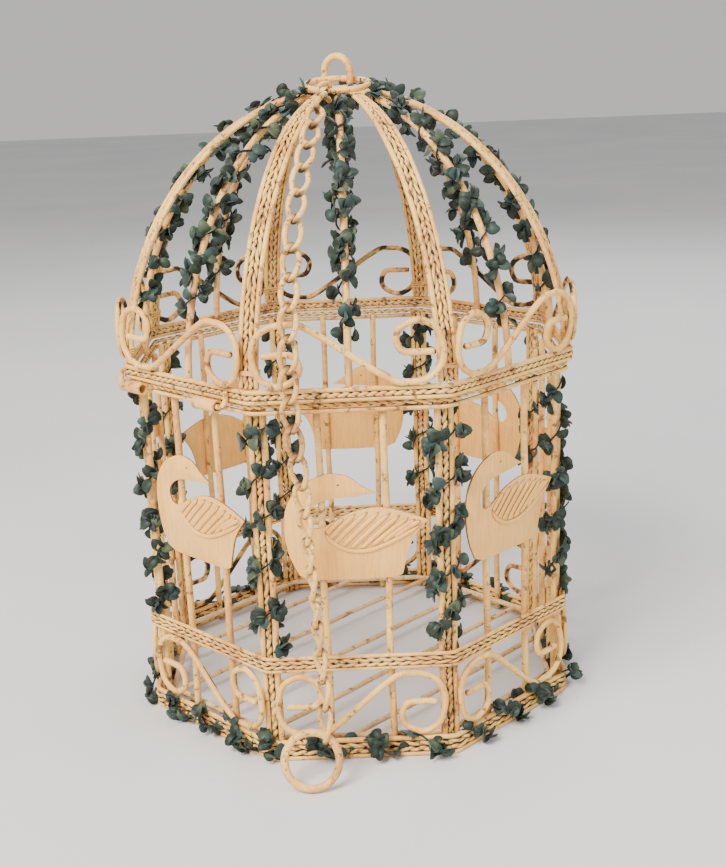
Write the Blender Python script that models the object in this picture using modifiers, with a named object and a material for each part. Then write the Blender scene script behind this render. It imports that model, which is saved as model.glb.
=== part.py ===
"""Octagonal wire cage with a hinged dome lid, for wedding cards, in metres with +Z up.

The origin is the middle of the base, on the surface the cage stands on.  The front face looks
along -Y.  The dome lid turns on two rolled barrels on the left-front face, and a chain with a
ring hangs from the ring at the top of the dome.
"""

import bmesh
import bpy
from math import cos, pi, radians, sin, sqrt, tan
from mathutils import Matrix, Vector

GAP = 0.0003                      # between pieces that touch
CORNER_ANGLE = radians(22.5)      # half of one side, seen from the middle
FACE_ANGLES = [radians(-90 + 45 * k) for k in range(8)]
POST_ANGLES = [radians(-112.5 + 45 * k) for k in range(8)]

# Heights and radii of the cage.  An apothem is the distance from the middle to a flat side.
APOTHEM = 0.1201                  # outside of the three body rails
BOTTOM_RAIL_TOP = 0.0120
WAIST_RAIL = (0.0513, 0.0602)
TOP_RAIL = (0.1926, 0.1964)
LID_RAIL = (0.1974, 0.2046)
LID_APOTHEM = 0.1225
RAIL_THICKNESS = 0.0032

# Uprights.
STRIP_WIDTH = 0.0108              # four plaited wires side by side
STRIP_THICKNESS = 0.0032
POST_RADIUS = 0.1239              # outer face of a corner post
UPRIGHT_FOOT = 0.0006
UPRIGHT_TOP = 0.1955
BAR_RADIUS = 0.0019
BAR_APOTHEM = 0.1146
BAR_OFFSET = 0.0166               # from the middle of a side

# Dome: a half ellipse that stands at the height of the lid rail.
DOME_BASE = 0.1980
DOME_RADIUS = 0.1298
DOME_HEIGHT = 0.1466
RIB_TOP_RADIUS = 0.0133
RIB_TOP_WIDTH = 0.0048
RIB_FULL_RADIUS = 0.0700          # the rib has its full width from here down
MID_RIB_RADIUS = 0.0019
MID_RIB_INSET = 0.0130            # inside the corner ribs, at the foot
HUB_RADIUS = 0.0120
HUB = (0.3395, 0.3450)

# Scrolls: one spiral end, about its own middle, which is turned half round for the other end.
SCROLL_WIRE = 0.0017
SCROLL_END = [
    (-0.0167, -0.0130), (-0.0053, -0.0160), (0.0040, -0.0143), (0.0100, -0.0085), (0.0118, 0.0000),
    (0.0092, 0.0104), (0.0040, 0.0150), (-0.0020, 0.0160), (-0.0091, 0.0123), (-0.0113, 0.0072),
    (-0.0097, 0.0018), (-0.0059, -0.0004), (0.0073, -0.0002),
]
SCROLL_END_HEIGHT = 0.0160
UPPER_SCROLL = {"apothem": 0.1230, "middle": 0.2219, "half_height": 0.0152, "end_at": 0.0350}
LOWER_SCROLL = {"apothem": 0.1189, "middle": 0.0317, "half_height": 0.0168, "end_at": 0.0325}

# Swan: its outline on the side, across from the middle and up from the foot of the breast.
SWAN_FOOT = 0.1020
SWAN_THICKNESS = 0.0014
SWAN_FACE = 0.1174                # apothem of the swan's front
SWAN_OUTLINE = [
    (-0.0225, 0.0003), (0.0000, 0.0000), (0.0205, 0.0003), (0.0240, 0.0022), (0.0262, 0.0110),
    (0.0300, 0.0215), (0.0375, 0.0310), (0.0260, 0.0355), (0.0140, 0.0385), (0.0040, 0.0378),
    (-0.0060, 0.0345), (-0.0150, 0.0292), (-0.0205, 0.0285), (-0.0236, 0.0315), (-0.0236, 0.0365),
    (-0.0195, 0.0410), (-0.0120, 0.0440), (-0.0020, 0.0446), (0.0110, 0.0462), (0.0030, 0.0530),
    (-0.0045, 0.0566), (-0.0140, 0.0566), (-0.0240, 0.0530), (-0.0310, 0.0465), (-0.0350, 0.0380),
    (-0.0358, 0.0260), (-0.0335, 0.0130), (-0.0290, 0.0030),
]

# Floor.
FLOOR_HEIGHT = 0.0085
FLOOR_RIM_WIRE = 0.0017
FLOOR_WIRE = 0.0013
FLOOR_RIM_APOTHEM = 0.1095
FLOOR_ROD_OFFSETS = (-0.0740, -0.0355, 0.0030, 0.0415, 0.0800)
FLOOR_ROD_ANGLE = radians(45)

# Lid hinge, on the left-front side.
HINGE_FACE = radians(-135)
HINGE_APOTHEM = 0.1262
HINGE_HEIGHT = 0.1952
BARREL_LENGTH = 0.0170
BARREL_OUTER = 0.0033
BARREL_BORE = 0.0020
BARRELS = {"hinge_barrel_left": -0.0365, "hinge_barrel_right": 0.0245}
PINTLE_WIRE = 0.0013

# Ring, loop and chain.
APEX_RING = {"middle": (0.0, -0.0130, 0.3456), "radius": 0.0172, "wire": 0.0016, "tilt": 9.0}
LOOP_WIRE = 0.00185
LOOP_LEGS = ((0.0070, -0.0030), (-0.0070, 0.0070))
LOOP_TOP = 0.3620
END_RING = {"middle": (-0.0265, -0.1460, 0.0151), "radius": 0.0141, "wire": 0.0021, "tilt": 64.0}
CHAIN_ROUTE = [
    (-0.00474, -0.0293, 0.3430), (-0.0090, -0.0460, 0.3402), (-0.0125, -0.0685, 0.3285),
    (-0.0180, -0.0895, 0.3105), (-0.0225, -0.1080, 0.2885), (-0.0256, -0.1213, 0.2645),
    (-0.0278, -0.1303, 0.2390), (-0.0290, -0.1328, 0.2110), (-0.0282, -0.1322, 0.1850),
    (-0.0256, -0.1318, 0.1600), (-0.0238, -0.1315, 0.1280), (-0.0216, -0.1320, 0.0980),
    (-0.0200, -0.1340, 0.0660), (-0.0189, -0.1373, 0.0420), (-0.0191, -0.1407, 0.0260),
]
LINK_COUNT = 25
LINK_RUNS = {"chain_upper": (0, 12), "chain_middle": (12, 18), "chain_lower": (18, 25)}
LINK_WIRE = 0.0014
LINK_HALF_WIDTH = 0.0036
FIRST_HALF_WIDTH = 0.0046         # the end links are wider, to turn on the rings
FIRST_TURN = 115                  # degrees about its length, to clear the ribs
LAST_HALF_WIDTH = 0.0044
APEX_REACH = 0.0032               # how far the end links run past the wires of the rings
END_REACH = 0.0032

# Stems of the greenery.
STEM = 0.0008

# Each turning group: its axis point, the group it hangs from and how its pieces' names begin.
PIVOTS = {
    "lid_axis": ((-0.08924, -0.08924, 0.1952), None, (
        "lid_rail", "corner_rib", "mid_ribs", "upper_scroll", "hanging_loop", "hinge_pintle", "dome_garland")),
    "ring_axis": ((0.0, 0.0040, 0.3482), "lid_axis", ("apex_ring",)),
    "chain_axis": ((-0.00474, -0.0293, 0.3430), "ring_axis", ("chain_upper",)),
    "knee_axis": ((-0.0290, -0.1327, 0.2155), "chain_axis", ("chain_middle",)),
    "fold_axis": ((-0.0238, -0.1315, 0.1270), "knee_axis", ("chain_lower",)),
    "end_axis": ((-0.0191, -0.1407, 0.0260), "fold_axis", ("end_ring",)),
}

CREAM = (0.78, 0.60, 0.36)
GREEN = (0.035, 0.075, 0.060)


def clear_scene():
    for obj in list(bpy.data.objects):
        bpy.data.objects.remove(obj)


def paint(name, colour, roughness, metallic):
    material = bpy.data.materials.new(name)
    material.use_nodes = True
    shader = material.node_tree.nodes["Principled BSDF"]
    shader.inputs["Base Color"].default_value = (*colour, 1.0)
    shader.inputs["Roughness"].default_value = roughness
    shader.inputs["Metallic"].default_value = metallic
    return material


def place(obj, name, material, matrix=None):
    """Name an object, give it its own material and its place, and put it with the parts."""
    obj.name = name
    obj.data.name = name
    own = material.copy()
    own.name = name + "_finish"
    obj.data.materials.clear()
    obj.data.materials.append(own)
    if matrix is not None:
        obj.matrix_world = matrix
    for collection in obj.users_collection:
        collection.objects.unlink(obj)
    parts.objects.link(obj)
    return obj


def side_frame(angle, apothem=0.0):
    """Local X runs to the right along a side, seen from outside, Y is up and Z points outwards."""
    out = Vector((cos(angle), sin(angle), 0.0))
    right = Vector((-sin(angle), cos(angle), 0.0))
    frame = Matrix((right, Vector((0, 0, 1)), out)).transposed().to_4x4()
    frame.translation = out * apothem
    return frame


def smooth_route(points, steps):
    """Points on a Catmull-Rom curve through the given ones."""
    ends = [2 * points[0] - points[1], *points, 2 * points[-1] - points[-2]]
    route = []
    for a, b, c, d in zip(ends, ends[1:], ends[2:], ends[3:]):
        for i in range(steps):
            t = i / steps
            route.append(0.5 * (2 * b + (c - a) * t + (2 * a - 5 * b + 4 * c - d) * t * t
                                + (3 * b - a - 3 * c + d) * t ** 3))
    route.append(points[-1].copy())
    return route


def wire(points, radius, sides=6, closed=False):
    """A round wire along straight runs between the points."""
    curve = bpy.data.curves.new("wire", "CURVE")
    curve.dimensions = "3D"
    curve.bevel_depth = radius
    curve.bevel_resolution = (sides - 4) // 2
    curve.use_fill_caps = not closed
    spline = curve.splines.new("POLY")
    spline.points.add(len(points) - 1)
    for spot, point in zip(spline.points, points):
        spot.co = (*point, 1.0)
    spline.use_cyclic_u = closed
    obj = bpy.data.objects.new("wire", curve)
    bpy.context.scene.collection.objects.link(obj)
    return obj


def plate(outline, thickness):
    """A flat sheet with the given outline, its back on local Z = 0."""
    curve = bpy.data.curves.new("plate", "CURVE")
    curve.dimensions = "2D"
    curve.fill_mode = "BOTH"
    curve.extrude = thickness / 2
    spline = curve.splines.new("POLY")
    spline.points.add(len(outline) - 1)
    for spot, (x, y) in zip(spline.points, outline):
        spot.co = (x, y, 0.0, 1.0)
    spline.use_cyclic_u = True
    obj = bpy.data.objects.new("plate", curve)
    bpy.context.scene.collection.objects.link(obj)
    return obj


def as_mesh(obj):
    """Turn a curve object into a closed mesh object in the same place."""
    bpy.context.view_layer.update()
    seen = obj.evaluated_get(bpy.context.evaluated_depsgraph_get())
    mesh = bpy.data.meshes.new_from_object(seen)
    shape = bmesh.new()
    shape.from_mesh(mesh)
    bmesh.ops.remove_doubles(shape, verts=shape.verts, dist=0.00001)
    bmesh.ops.recalc_face_normals(shape, faces=shape.faces)
    shape.to_mesh(mesh)
    shape.free()
    solid = bpy.data.objects.new(obj.name, mesh)
    solid.matrix_world = obj.matrix_world
    bpy.context.scene.collection.objects.link(solid)
    bpy.data.objects.remove(obj)
    return solid


def weld(base, others):
    """Join overlapping solids to a base with Boolean unions."""
    for i, other in enumerate(others):
        for collection in other.users_collection:
            collection.objects.unlink(other)
        cutters.objects.link(other)
        other.hide_render = True
        other.display_type = "WIRE"
        union = base.modifiers.new("weld_%d" % i, "BOOLEAN")
        union.operation = "UNION"
        union.solver = "EXACT"
        union.object = other
    return base


def octagon_ring(apothem, thickness, low, high):
    """A flat-sided ring: a rectangle swept round in eight steps."""
    outer = apothem / cos(CORNER_ANGLE)
    inner = (apothem - thickness) / cos(CORNER_ANGLE)
    profile = [(outer, high), (outer, low), (inner, low), (inner, high)]
    mesh = bpy.data.meshes.new("ring")
    mesh.from_pydata([(x, 0.0, z) for x, z in profile], [(0, 1), (1, 2), (2, 3), (3, 0)], [])
    obj = bpy.data.objects.new("ring", mesh)
    bpy.context.scene.collection.objects.link(obj)
    screw = obj.modifiers.new("sweep", "SCREW")
    screw.steps = 8
    screw.render_steps = 8
    screw.use_merge_vertices = True
    screw.merge_threshold = 0.0001
    screw.use_smooth_shade = False
    obj.rotation_euler.z = CORNER_ANGLE
    return obj


def box(low, high):
    """A box between two corners, as a mesh object."""
    shape = bmesh.new()
    bmesh.ops.create_cube(shape, size=1.0)
    size = [b - a for a, b in zip(low, high)]
    middle = [(a + b) / 2 for a, b in zip(low, high)]
    bmesh.ops.transform(shape, matrix=Matrix.LocRotScale(middle, None, size), verts=shape.verts)
    mesh = bpy.data.meshes.new("box")
    shape.to_mesh(mesh)
    shape.free()
    obj = bpy.data.objects.new("box", mesh)
    bpy.context.scene.collection.objects.link(obj)
    return obj


def rod(radius, length, sides=12):
    """An upright cylinder from local Z = 0."""
    shape = bmesh.new()
    bmesh.ops.create_cone(shape, cap_ends=True, segments=sides, radius1=radius, radius2=radius, depth=length)
    bmesh.ops.translate(shape, vec=(0, 0, length / 2), verts=shape.verts)
    mesh = bpy.data.meshes.new("rod")
    shape.to_mesh(mesh)
    shape.free()
    obj = bpy.data.objects.new("rod", mesh)
    bpy.context.scene.collection.objects.link(obj)
    return obj


def ring(settings, sides=8):
    bpy.ops.mesh.primitive_torus_add(
        major_segments=24, minor_segments=sides,
        major_radius=settings["radius"], minor_radius=settings["wire"])
    obj = bpy.context.object
    obj.data.shade_smooth()
    matrix = Matrix.Translation(settings["middle"]) @ Matrix.Rotation(radians(settings["tilt"]), 4, "X")
    return obj, matrix


def dome_radius(height, radius=DOME_RADIUS, rise=DOME_HEIGHT):
    return radius * sqrt(max(0.0, 1 - ((height - DOME_BASE) / rise) ** 2))


def dome_height(reach, radius=DOME_RADIUS, rise=DOME_HEIGHT):
    return DOME_BASE + rise * sqrt(1 - (reach / radius) ** 2)


def strip_loft(stations):
    """A solid strip through rectangles, each given by its middle, its across and its through."""
    shape = bmesh.new()
    loops = []
    for middle, across, through in stations:
        corners = [middle + across, middle + across - 2 * through,
                   middle - across - 2 * through, middle - across]
        loops.append([shape.verts.new(corner) for corner in corners])
    for lower, upper in zip(loops, loops[1:]):
        for i in range(4):
            j = (i + 1) % 4
            shape.faces.new((lower[i], lower[j], upper[j], upper[i]))
    shape.faces.new(loops[0][::-1])
    shape.faces.new(loops[-1])
    bmesh.ops.recalc_face_normals(shape, faces=shape.faces)
    mesh = bpy.data.meshes.new("strip")
    shape.to_mesh(mesh)
    shape.free()
    obj = bpy.data.objects.new("strip", mesh)
    bpy.context.scene.collection.objects.link(obj)
    return obj


def body_rails():
    rails = {
        "bottom_rail": (0.0, BOTTOM_RAIL_TOP),
        "waist_rail": WAIST_RAIL,
        "body_top_rail": TOP_RAIL,
    }
    for name, (low, high) in rails.items():
        place(octagon_ring(APOTHEM, RAIL_THICKNESS, low, high), name, cream)


def corner_posts():
    for k, angle in enumerate(POST_ANGLES):
        post = box((-STRIP_WIDTH / 2, UPRIGHT_FOOT, POST_RADIUS - STRIP_THICKNESS),
                   (STRIP_WIDTH / 2, UPRIGHT_TOP, POST_RADIUS))
        place(post, "corner_post_%d" % (k + 1), cream, side_frame(angle))


def swan_panels():
    """A sheet swan on each side, welded across the two bars behind it."""
    for k, angle in enumerate(FACE_ANGLES):
        frame = side_frame(angle)
        swan = as_mesh(plate(SWAN_OUTLINE, SWAN_THICKNESS))
        lift = Matrix.Translation((0, SWAN_FOOT, SWAN_FACE - SWAN_THICKNESS / 2))
        bars = []
        for side in (-1, 1):
            bar = rod(BAR_RADIUS, UPRIGHT_TOP - UPRIGHT_FOOT, 8)
            upright = Matrix.Rotation(-pi / 2, 4, "X")
            bar.matrix_world = frame @ Matrix.Translation((side * BAR_OFFSET, UPRIGHT_FOOT, BAR_APOTHEM)) @ upright
            bars.append(bar)
        place(weld(swan, bars), "swan_panel_%d" % (k + 1), cream, frame @ lift)


def scroll_points(settings, mirror):
    """An S with a spiral at each end, on a side, with its middle at the origin."""
    rise = settings["half_height"] / SCROLL_END_HEIGHT
    half = [Vector((x + settings["end_at"], y * rise, 0.0)) for x, y in SCROLL_END]
    points = [-point for point in reversed(half)] + half
    for point in points:
        point.x *= mirror
    return smooth_route(points, 1)


def scrolls(prefix, settings, first_mirror):
    """Each neighbour is the mirror image of the one before it."""
    for k, angle in enumerate(FACE_ANGLES):
        mirror = first_mirror if k % 2 == 0 else -first_mirror
        frame = side_frame(angle, settings["apothem"]) @ Matrix.Translation((0, settings["middle"], 0))
        scroll = wire(scroll_points(settings, mirror), SCROLL_WIRE)
        place(scroll, "%s_%d" % (prefix, k + 1), cream, frame)


def floor_grid():
    """Rods from the hinge side to the side opposite, welded to a rim inside the bottom rail."""
    corner = FLOOR_RIM_APOTHEM / cos(CORNER_ANGLE)
    rim_points = [Vector((corner * cos(a), corner * sin(a), FLOOR_HEIGHT)) for a in POST_ANGLES]
    rim = as_mesh(wire(rim_points, FLOOR_RIM_WIRE, 8, closed=True))
    along = Vector((cos(FLOOR_ROD_ANGLE), sin(FLOOR_ROD_ANGLE), 0))
    across = Vector((-along.y, along.x, 0))
    rods = []
    for offset in FLOOR_ROD_OFFSETS:
        flat = FLOOR_RIM_APOTHEM * tan(CORNER_ANGLE)
        half = FLOOR_RIM_APOTHEM - max(0.0, abs(offset) - flat)
        middle = across * offset + Vector((0, 0, FLOOR_HEIGHT))
        reach = along * half
        rods.append(as_mesh(wire([middle - reach, middle + reach], FLOOR_WIRE)))
    place(weld(rim, rods), "floor_grid", cream)


def hinge_barrels():
    """Rolled sheet barrels, each with a flange that reaches back to the body's top rail."""
    for name, offset in BARRELS.items():
        barrel = rod(BARREL_OUTER, BARREL_LENGTH, 16)
        barrel.modifiers.clear()
        flange = box((-BARREL_LENGTH / 2, -0.0012, -(HINGE_APOTHEM - APOTHEM - GAP)),
                     (BARREL_LENGTH / 2, -0.0002, -BARREL_BORE - 0.0006))
        bore = rod(BARREL_BORE, BARREL_LENGTH + 0.002, 12)
        frame = side_frame(HINGE_FACE, HINGE_APOTHEM) @ Matrix.Translation((offset, HINGE_HEIGHT, 0))
        flange.matrix_world = frame
        turn = Matrix.Rotation(pi / 2, 4, "Y")
        matrix = frame @ Matrix.Translation((-BARREL_LENGTH / 2, 0, 0)) @ turn
        bore.matrix_world = frame @ Matrix.Translation((-BARREL_LENGTH / 2 - 0.001, 0, 0)) @ turn
        weld(barrel, [flange])
        cut = barrel.modifiers.new("bore", "BOOLEAN")
        cut.operation = "DIFFERENCE"
        cut.solver = "EXACT"
        cut.object = bore
        for collection in bore.users_collection:
            collection.objects.unlink(bore)
        cutters.objects.link(bore)
        bore.hide_render = True
        bore.display_type = "WIRE"
        place(barrel, name, cream, matrix)


def hinge_pintles():
    """Bent wires from the lid rail into the outer end of each barrel."""
    frame = side_frame(HINGE_FACE)
    for name, barrel, side in (("hinge_pintle_left", "hinge_barrel_left", -1),
                               ("hinge_pintle_right", "hinge_barrel_right", 1)):
        mouth = BARRELS[barrel] + side * BARREL_LENGTH / 2
        points = [
            Vector((mouth + side * 0.0042, 0.2030, LID_APOTHEM + GAP + PINTLE_WIRE)),
            Vector((mouth + side * 0.0042, 0.1988, LID_APOTHEM + GAP + PINTLE_WIRE)),
            Vector((mouth + side * 0.0036, 0.1963, HINGE_APOTHEM - 0.0008)),
            Vector((mouth + side * 0.0020, HINGE_HEIGHT, HINGE_APOTHEM)),
            Vector((mouth - side * 0.0120, HINGE_HEIGHT, HINGE_APOTHEM)),
        ]
        place(wire(points, PINTLE_WIRE, 8), name, cream, frame)


def corner_ribs():
    """Flat strips from the lid rail's corners to the hub, narrower towards the top."""
    foot = LID_RAIL[1] + GAP
    count = 13
    reaches = []
    for i in range(count):
        t = i / (count - 1) * pi / 2
        reaches.append(dome_radius(foot) * cos(t) + RIB_TOP_RADIUS * (1 - cos(t)))
    for k, angle in enumerate(POST_ANGLES):
        stations = []
        for i, reach in enumerate(reaches):
            height = foot if i == 0 else dome_height(reach)
            lean = Vector((0, (height - DOME_BASE) / DOME_HEIGHT ** 2, reach / DOME_RADIUS ** 2)).normalized()
            share = min(1.0, (reach - RIB_TOP_RADIUS) / (RIB_FULL_RADIUS - RIB_TOP_RADIUS))
            width = RIB_TOP_WIDTH + (STRIP_WIDTH - RIB_TOP_WIDTH) * share
            through = lean * STRIP_THICKNESS / 2
            if i == 0:
                through = Vector((0, 0, STRIP_THICKNESS / 2))
            stations.append((Vector((0, height, reach)), Vector((width / 2, 0, 0)), through))
        place(strip_loft(stations), "corner_rib_%d" % (k + 1), cream, side_frame(angle))


def mid_ribs():
    """Round wires from the middle of each side of the lid rail, welded to the hub."""
    base = DOME_RADIUS - MID_RIB_INSET
    rise = DOME_HEIGHT - MID_RIB_RADIUS - 0.0005
    hub = rod(HUB_RADIUS, HUB[1] - HUB[0], 16)
    arms = []
    count = 11
    for angle in FACE_ANGLES:
        points = [Vector((0, DOME_BASE + 0.0002, base))]
        for i in range(1, count):
            t = i / (count - 1) * (pi / 2 - 0.045)
            points.append(Vector((0, DOME_BASE + rise * sin(t), base * cos(t))))
        arm = as_mesh(wire(points, MID_RIB_RADIUS))
        arm.matrix_world = side_frame(angle)
        arms.append(arm)
    place(weld(hub, arms), "mid_ribs", cream, Matrix.Translation((0, 0, HUB[0])))


def hanging_loop():
    """An upright loop that stands on the hub and holds the ring captive."""
    first, second = [Vector((x, y, 0)) for x, y in LOOP_LEGS]
    middle = (first + second) / 2
    across = (first - second) / 2
    foot = Vector((0, 0, HUB[1] + GAP))
    spring = LOOP_TOP - LOOP_WIRE - across.length
    points = [first + foot]
    for i in range(9):
        t = i / 8 * pi
        rise = Vector((0, 0, spring + across.length * sin(t)))
        points.append(middle + across * cos(t) + rise)
    points.append(second + foot)
    place(wire(points, LOOP_WIRE, 8), "hanging_loop", cream)


def chain_stations():
    """Link middles, directions and joints at even steps along the chain's route."""
    route = smooth_route([Vector(p) for p in CHAIN_ROUTE], 12)
    lengths = [0.0]
    for a, b in zip(route, route[1:]):
        lengths.append(lengths[-1] + (b - a).length)

    def at(distance):
        for i in range(1, len(route)):
            if lengths[i] >= distance or i == len(route) - 1:
                share = (distance - lengths[i - 1]) / (lengths[i] - lengths[i - 1])
                return route[i - 1].lerp(route[i], share)

    pitch = lengths[-1] / LINK_COUNT
    return [at(pitch * i) for i in range(LINK_COUNT + 1)]


def chain_link(start, end, turn, spare, half_width=LINK_HALF_WIDTH):
    """An oval link between two joints of the chain, turned about its length by some degrees."""
    length = (end - start).length + spare
    along = (end - start).normalized()
    side = Vector((1, 0, 0))
    side = (side - along * side.dot(along)).normalized()
    side = Matrix.Rotation(radians(turn), 3, along) @ side
    middle = (start + end) / 2
    straight = length / 2 - half_width
    points = []
    for i in range(12):
        t = 2 * pi * (i + 0.5) / 12
        shift = straight if cos(t) > 0 else -straight
        points.append(middle + along * (shift + half_width * cos(t)) + side * (half_width * sin(t)))
    return as_mesh(wire(points, LINK_WIRE, 4, closed=True))


def chain():
    """Links fused into three runs that turn on each other, and loose where two runs meet."""
    stations = chain_stations()
    stations[0] += (stations[0] - stations[1]).normalized() * APEX_REACH
    stations[-1] += (stations[-1] - stations[-2]).normalized() * END_REACH
    for name, (first, last) in LINK_RUNS.items():
        links = []
        for i in range(first, last):
            end_link = i in (first, last - 1)
            spare = 2 * LINK_WIRE + (0.0005 if end_link else -0.0016)
            half_width = {0: FIRST_HALF_WIDTH, LINK_COUNT - 1: LAST_HALF_WIDTH}.get(i, LINK_HALF_WIDTH)
            turn = FIRST_TURN if i == 0 else 90 * (1 - i % 2)
            links.append(chain_link(stations[i], stations[i + 1], turn, spare, half_width))
        place(weld(links[0], links[1:]), name, cream)


def rings():
    for name, settings in (("apex_ring", APEX_RING), ("end_ring", END_RING)):
        obj, matrix = ring(settings)
        place(obj, name, cream, matrix)


def greenery():
    """Plain stems: one round the foot with a branch up each corner, one with eight under the dome."""
    corner = POST_RADIUS - STRIP_THICKNESS - GAP - STEM
    height = FLOOR_HEIGHT + FLOOR_RIM_WIRE + 0.0040
    foot = [Vector((corner * cos(a), corner * sin(a), height)) for a in POST_ANGLES]
    loop = as_mesh(wire(foot, STEM, 4, closed=True))
    risers = [as_mesh(wire([p, Vector((p.x, p.y, TOP_RAIL[0]))], STEM, 4)) for p in foot]
    place(weld(loop, risers), "body_garland", green)

    knot = rod(0.0060, 0.0030, 8)
    inset = MID_RIB_RADIUS + GAP + STEM
    base = DOME_RADIUS - MID_RIB_INSET - inset
    rise = HUB[0] - GAP - 0.0016 - DOME_BASE
    branches = []
    for angle in FACE_ANGLES:
        points = []
        for i in range(8):
            t = 0.25 + i / 7 * (pi / 2 - 0.29)
            points.append(Vector((0, DOME_BASE + rise * sin(t), base * cos(t))))
        branch = as_mesh(wire(points, STEM, 4))
        branch.matrix_world = side_frame(angle)
        branches.append(branch)
    place(weld(knot, branches), "dome_garland", green, Matrix.Translation((0, 0, HUB[0] - GAP - 0.0034)))


def pivots():
    """Hang each group from an empty on its own turning axis, without moving it."""
    for name, (point, above, beginnings) in PIVOTS.items():
        pivot = bpy.data.objects.new(name, None)
        pivot.empty_display_size = 0.01
        bpy.context.scene.collection.objects.link(pivot)
        pivot.location = point
        bpy.context.view_layer.update()
        if above:
            pivot.parent = bpy.data.objects[above]
            pivot.matrix_parent_inverse = bpy.data.objects[above].matrix_world.inverted()
            bpy.context.view_layer.update()
        for obj in parts.objects:
            if obj.name.startswith(beginnings):
                obj.parent = pivot
                obj.matrix_parent_inverse = pivot.matrix_world.inverted()


clear_scene()
parts = bpy.data.collections.new("wedding_card_cage")
cutters = bpy.data.collections.new("cutters")
for group in (parts, cutters):
    bpy.context.scene.collection.children.link(group)
cream = paint("cream_paint", CREAM, 0.55, 0.0)
green = paint("leaf_green", GREEN, 0.65, 0.0)

body_rails()
corner_posts()
swan_panels()
scrolls("lower_scroll", LOWER_SCROLL, -1)
floor_grid()
hinge_barrels()
place(octagon_ring(LID_APOTHEM, RAIL_THICKNESS + 0.0002, *LID_RAIL), "lid_rail", cream)
hinge_pintles()
corner_ribs()
mid_ribs()
scrolls("upper_scroll", UPPER_SCROLL, 1)
hanging_loop()
rings()
chain()
greenery()
pivots()
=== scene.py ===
import random
from math import cos, pi, radians, sin, sqrt, tan

import bmesh
import bpy
from mathutils import Matrix, Vector, noise


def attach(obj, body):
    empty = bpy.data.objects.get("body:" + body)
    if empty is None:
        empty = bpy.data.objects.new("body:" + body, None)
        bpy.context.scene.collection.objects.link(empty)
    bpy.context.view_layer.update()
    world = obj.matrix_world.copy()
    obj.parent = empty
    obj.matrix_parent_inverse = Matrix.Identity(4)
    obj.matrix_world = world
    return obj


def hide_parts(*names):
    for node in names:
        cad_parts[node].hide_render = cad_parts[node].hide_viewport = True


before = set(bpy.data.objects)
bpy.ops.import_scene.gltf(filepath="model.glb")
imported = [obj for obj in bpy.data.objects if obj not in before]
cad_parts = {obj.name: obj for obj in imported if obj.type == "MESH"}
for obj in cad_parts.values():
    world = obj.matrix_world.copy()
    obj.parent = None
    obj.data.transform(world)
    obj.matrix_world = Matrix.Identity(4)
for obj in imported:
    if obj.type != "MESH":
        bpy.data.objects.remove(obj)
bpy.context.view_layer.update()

faceAngles = [radians(-90 + 45 * k) for k in range(8)]
postAngles = [radians(-112.5 + 45 * k) for k in range(8)]
upward = Vector((0, 0, 1))
halfSide = tan(radians(22.5))


class Wired:
    def __init__(self, tree, socket):
        self.tree = tree
        self.socket = socket

    def calc(self, operation, first, second=0.0, clamp=False):
        node = self.tree.nodes.new("ShaderNodeMath")
        node.operation = operation
        node.use_clamp = clamp
        for slot, value in zip(node.inputs, (first, second)):
            if isinstance(value, Wired):
                self.tree.links.new(value.socket, slot)
            else:
                slot.default_value = value
        return Wired(self.tree, node.outputs[0])

    def __add__(self, other):
        return self.calc("ADD", self, other)

    def __sub__(self, other):
        return self.calc("SUBTRACT", self, other)

    def __mul__(self, other):
        return self.calc("MULTIPLY", self, other)

    def __rsub__(self, other):
        return self.calc("SUBTRACT", other, self)

    __radd__ = __add__
    __rmul__ = __mul__

    def clamped(self):
        return self.calc("ADD", self, 0.0, clamp=True)

    def step(self, low, high):
        # 0 below low, 1 above high
        return self.calc("MULTIPLY", self - low, 1.0 / (high - low), clamp=True)


class Finish:
    def __init__(self, name, **fixed):
        self.material = bpy.data.materials.new(name)
        self.material.use_nodes = True
        self.tree = self.material.node_tree
        self.shader = self.tree.nodes["Principled BSDF"]
        for socket, value in fixed.items():
            self.shader.inputs[socket.replace("_", " ")].default_value = value
        self.place = self.node("ShaderNodeTexCoord", out="Object")

    def node(self, kind, settings=None, out=0, **values):
        node = self.tree.nodes.new(kind)
        for key, value in (settings or {}).items():
            if key == "stops":
                ramp = node.color_ramp
                while len(ramp.elements) < len(value):
                    ramp.elements.new(0.5)
                for element, (spot, colour) in zip(ramp.elements, value):
                    element.position = spot
                    element.color = (*colour, 1.0)
            else:
                setattr(node, key, value)
        for key, value in values.items():
            slot = node.inputs[int(key[1:])] if key[0] == "_" else node.inputs[key]
            if isinstance(value, Wired):
                self.tree.links.new(value.socket, slot)
            else:
                slot.default_value = value
        return Wired(self.tree, node.outputs[out])

    def grain(self, scale, detail=2.0, rough=0.5, stretch=None, place=None):
        spot = place or self.place
        if stretch:
            spot = self.node("ShaderNodeMapping", Vector=spot, Scale=stretch)
        return self.node("ShaderNodeTexNoise", Vector=spot, Scale=scale, Detail=detail, Roughness=rough)

    def blendColours(self, share, first, second):
        # colours may be values or links
        picks = {"_0": share, "_6": first, "_7": second}
        for key in ("_6", "_7"):
            if not isinstance(picks[key], Wired):
                picks[key] = (*picks[key], 1.0)
        return self.node("ShaderNodeMix", {"data_type": "RGBA"}, out=2, **picks)

    def attribute(self, name):
        return self.node("ShaderNodeAttribute", {"attribute_name": name}, out="Fac")

    def feed(self, **links):
        for socket, value in links.items():
            self.tree.links.new(value.socket, self.shader.inputs[socket.replace("_", " ")])

    def bump(self, height, strength, distance):
        return self.node("ShaderNodeBump", Height=height, Strength=strength, Distance=distance)


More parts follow.
